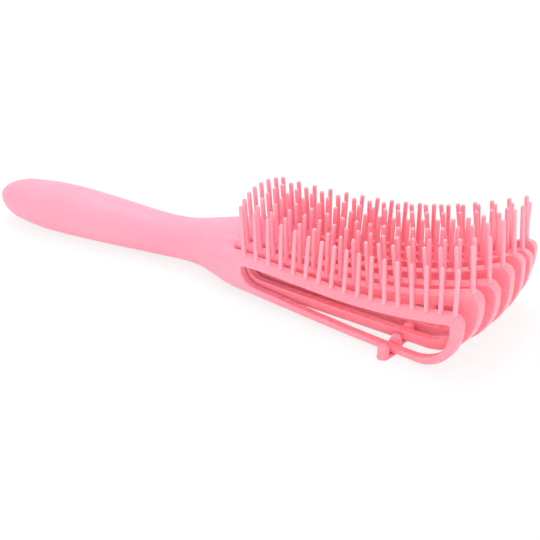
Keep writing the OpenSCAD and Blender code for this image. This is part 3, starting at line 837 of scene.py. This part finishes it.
def make_handle():
    columns = seam_columns()
    rows = handle_rows()
    size, last, slot_row = len(columns), len(rows) - 1, rows.index(SLOT_START)
    # Each slot ends in a round hole, a little wider than the slot
    pulls = {slot_row: 1, slot_row - 1: 0.8, slot_row - 2: 0.5, slot_row - 3: 0.2}
    wider = {slot_row: 0.2, slot_row + 1: 0.44, slot_row + 2: 0.3}
    points, faces = [], []
    for i, r in enumerate(rows):
        for column in columns:
            aside = {"first": 1, "last": -1}.get(column.spot, 0) * wider.get(i, 0)
            if (column.k, column.spot) in ((1, "first"), (8, "last")):
                aside = 0
            point = handle_point(column, r - column.pull * pulls.get(i, 0))
            points.append(point + Vector((0, aside, 0)))
    for i in range(last):
        for j in range(size):
            j2 = (j + 1) % size
            if i >= slot_row and "gap" in (columns[j].kind, columns[j2].kind):
                continue
            faces.append((i * size + j, i * size + j2, (i + 1) * size + j2, (i + 1) * size + j))
    # The round end
    points.append(Vector((-X_END, 0, sum(p.z for p in points[:size]) / size)))
    faces += [(len(points) - 1, (j + 1) % size, j) for j in range(size)]
    # The walls and the round end of each slot
    number = {(c.top, c.kind, c.k, c.spot): j for j, c in enumerate(columns)}
    hard = set()

    def wall(a, b, c, d):
        """A face whose edges a-b and c-d are rounded."""
        faces.append((a, b, c, d))
        hard.update((frozenset((a, b)), frozenset((c, d))))

    for k in RIBS[:-1]:
        for side in (("rib", k, "last"), ("rib", k + 1, "first")):
            a, b = number[(True, *side)], number[(False, *side)]
            for i in range(slot_row, last):
                near, far = i * size, (i + 1) * size
                wall(near + a, far + a, far + b, near + b)
        gap = [("gap", k, spot) for spot in (0, 1, 2)]
        chain = [("rib", k, "last"), *gap, ("rib", k + 1, "first")]
        above = [slot_row * size + number[(True, *key)] for key in chain]
        below = [slot_row * size + number[(False, *key)] for key in chain]
        for n in range(len(gap) + 1):
            wall(above[n], above[n + 1], below[n + 1], below[n])
    # The flat ends of the stubs
    for k in RIBS:
        stub = [j for j, c in enumerate(columns) if c.k == k and c.kind != "gap"]
        faces.append(tuple(last * size + j for j in stub))
    obj = make_object("handle_body", points, faces, handle_plastic)
    weights = obj.data.attributes.new("bevel_weight_edge", "FLOAT", "EDGE")
    for edge in obj.data.edges:
        if frozenset(edge.vertices) in hard:
            weights.data[edge.index].value = 1
    finish_mesh(obj, bevel=0.4)
    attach(obj, "handle")
    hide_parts("handle_top_shell", "handle_bottom_shell")


# ---------------------------------------------------------------- tie strap
BAND_HALF, BAND_T, BAND_F = 2.5, 1.2, 0.42
BAND_LOW, BAND_HIGH = 1.2, 3.65  # the band's top at its two ends and under the inner ribs
BAR_DEG = degrees(asin(RIB_HALF / STRAP_R))
END_DEG = ANGLES[0] + BAR_DEG + degrees(2.65 / STRAP_R)
PEG_R, PEG_H = 2.35, 5.2
TOOTH_W, TOOTH_H, TOOTH_SQUARE = 4.7, 4.7, 2.6
TOOTH_FRONT, TOOTH_BACK_LOW, TOOTH_BACK_HIGH, TOOTH_BACK_H = 2.35, -3.5, -1.5, 3.6
TOOTH_ROOM = 0.6  # what a tooth leaves free in its gap
TURN = [2 * pi * j / 32 for j in range(32)]  # the steps round a peg or a tooth
CAP_STEPS = [15, 30, 45, 58, 70, 80]


def strap_point(a, x, y, z):
    """A point of the strap: x out from its middle line at a degrees, y along it, z up."""
    t, r = radians(a), STRAP_R + x
    return FAN_X + r * cos(t) - y * sin(t), r * sin(t) + y * cos(t), z


def band_top(a):
    dip_in = (STRAP_R + BAND_HALF) * sin(radians(ANGLES[1] + BAR_DEG)) + 0.3
    dip_out = (STRAP_R - BAND_HALF) * sin(radians(ANGLES[0] - BAR_DEG)) - 0.3
    dip = smooth((abs(STRAP_R * sin(radians(a))) - dip_in) / (dip_out - dip_in))
    return lerp(BAND_HIGH, BAND_LOW, dip)


def band_ring(a):
    """The band's section at a degrees round the fan. Past END_DEG it narrows to a round end."""
    over = radians(max(0, abs(a) - END_DEG)) * STRAP_R
    half = sqrt(max(0.001, BAND_HALF ** 2 - over ** 2))
    f = min(BAND_F, half * 0.8)
    top, bottom = band_top(a) - f, band_top(a) - BAND_T + f
    side = [(half - f + f * cos(t), f * sin(t)) for t in ARC]
    ring = [(x, top + z) for x, z in side] + [(-x, top + z) for x, z in side[::-1]]
    ring += [(-x, bottom - z) for x, z in side] + [(x, bottom - z) for x, z in side[::-1]]
    return [strap_point(a, x, 0, z) for x, z in ring]


def peg_rings(a):
    """A round peg with a domed top, on the end of the band."""
    neck = PEG_H - PEG_R
    rows = [(-0.6, 0.99 * PEG_R), (0.1, PEG_R), (1.2, 0.985 * PEG_R), (neck, 0.995 * PEG_R)]
    dome = [radians(t) for t in (*CAP_STEPS, 87)]
    rows += [(neck + PEG_R * sin(t), PEG_R * cos(t)) for t in dome]
    return [
        [strap_point(a, w * cos(t), w * sin(t), BAND_LOW + h) for t in TURN]
        for h, w in rows
    ]


def tooth_rings(k):
    """The tooth in the gap between ribs k and k + 1: square-sided, with a sloping back and a
    domed top. The outer gaps lie over the slopes of the band."""
    a, b = fan_angle(k), fan_angle(k + 1)
    half = min(TOOTH_W, STRAP_R * radians(b - a) - 2 * RIB_HALF - TOOTH_ROOM) / 2
    foot = lerp(BAND_LOW, BAND_HIGH, 0.55) if k in (1, 7) else BAND_HIGH
    cap = min(RIB_HALF, half - 0.06)
    neck = TOOTH_H - cap

    def power(value):
        return (1 if value > 0 else -1) * abs(value) ** (2 / TOOTH_SQUARE)

    def ring(h, shrink=0):
        climb = min(1, max(0, min(h, neck) / TOOTH_BACK_H))
        back = lerp(TOOTH_BACK_LOW, TOOTH_BACK_HIGH, climb)
        middle, reach = (TOOTH_FRONT + back) / 2, (TOOTH_FRONT - back) / 2 - shrink
        return [
            strap_point(
                (a + b) / 2,
                middle + reach * power(cos(t)),
                (half - shrink) * power(sin(t)),
                foot + h,
            )
            for t in TURN
        ]

    dome = [radians(t) for t in (*CAP_STEPS, 88)]
    rings = [ring(h) for h in (-0.5, 0, 0.5, 1.2, 2, neck)]
    return rings + [ring(neck + cap * sin(t), cap * (1 - cos(t))) for t in dome]


def make_strap():
    """An arc of a band under the lower bars, a peg past each outer bar, a tooth in every gap."""
    points, faces = [], []

    def loft(rings):
        base, sides = len(points), len(rings[0])
        for ring in rings:
            points.extend(ring)
        faces.extend(tube(base, len(rings), sides))
        faces.append(tuple(base + j for j in reversed(range(sides))))
        faces.append(tuple(base + (len(rings) - 1) * sides + j for j in range(sides)))

    ends = [BAND_HALF * sin(radians(t)) for t in (88, 80, 70, 60, 48, 36, 24, 12)]
    narrow = [degrees(length / STRAP_R) for length in ends]
    stations = [-(END_DEG + a) for a in narrow]
    stations += [lerp(-END_DEG, END_DEG, i / 72) for i in range(73)]
    stations += [END_DEG + a for a in reversed(narrow)]
    loft([band_ring(a) for a in stations])
    for a in (-END_DEG, END_DEG):
        loft(peg_rings(a))
    for k in RIBS[:-1]:
        loft(tooth_rings(k))
    obj = make_object("strap_band", points, faces, rib_plastic)
    finish_mesh(obj)
    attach(obj, "strap")
    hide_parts("tie_strap")


make_handle()
for number in RIBS:
    make_rib(number)
    make_pins(number)
make_strap()


# ---------------------------------------------------------------- stage and light
WHITE = (1, 1, 1, 1)


def seen(tree):
    """1 for what the camera sees, also in a gloss or through something clear."""
    ray = node(tree, "LightPath", {}).outputs
    direct = math_node(tree, "MAXIMUM", ray["Is Camera Ray"], ray["Is Glossy Ray"])
    return math_node(tree, "MAXIMUM", direct, ray["Is Transmission Ray"])


def mix_shaders(tree, factor, lit, shown, output):
    """Ends the tree in a mix: factor 0 gives lit, 1 gives shown."""
    mix = node(tree, "MixShader", {"Fac": factor, 1: lit.outputs[0], 2: shown.outputs[0]})
    node(tree, output, {"Surface": mix.outputs[0]})


def make_floor():
    """White to the camera, with the shadow kept at part strength."""
    mesh = bpy.data.meshes.new("floor")
    mesh.from_pydata([(-4, -4, 0), (4, -4, 0), (4, 4, 0), (-4, 4, 0)], [], [(0, 1, 2, 3)])
    floor = bpy.data.objects.new("floor", mesh)
    bpy.context.scene.collection.objects.link(floor)
    material = bpy.data.materials.new("floor_white")
    material.use_nodes = True
    tree = material.node_tree
    tree.nodes.clear()
    diffuse = node(tree, "BsdfDiffuse", {"Color": (0.93, 0.93, 0.93, 1)})
    white = node(tree, "Emission", {"Color": WHITE, "Strength": 1})
    share = math_node(tree, "MULTIPLY", seen(tree), 0.8)
    mix_shaders(tree, share, diffuse, white, "OutputMaterial")
    mesh.materials.append(material)


def make_world():
    world = bpy.data.worlds.new("studio")
    bpy.context.scene.world = world
    world.use_nodes = True
    tree = world.node_tree
    tree.nodes.clear()
    light = node(tree, "Background", {"Color": WHITE, "Strength": 1.06})
    white = node(tree, "Background", {"Color": WHITE, "Strength": 1})
    mix_shaders(tree, seen(tree), light, white, "OutputWorld")


def make_light(name, location, size, power):
    data = bpy.data.lights.new(name, "AREA")
    data.shape = "DISK"
    data.size = size
    data.energy = power
    light = bpy.data.objects.new(name, data)
    bpy.context.scene.collection.objects.link(light)
    light.location = location
    aim = Vector((0, 0, 0.02)) - light.location
    light.rotation_euler = aim.to_track_quat("-Z", "Y").to_euler()


make_floor()
make_world()
make_light("key", Vector((-0.3, 0.45, 1.5)), 0.85, 8.5)
make_light("fill", Vector((0.78, -1.35, 0.32)), 0.6, 4.5)
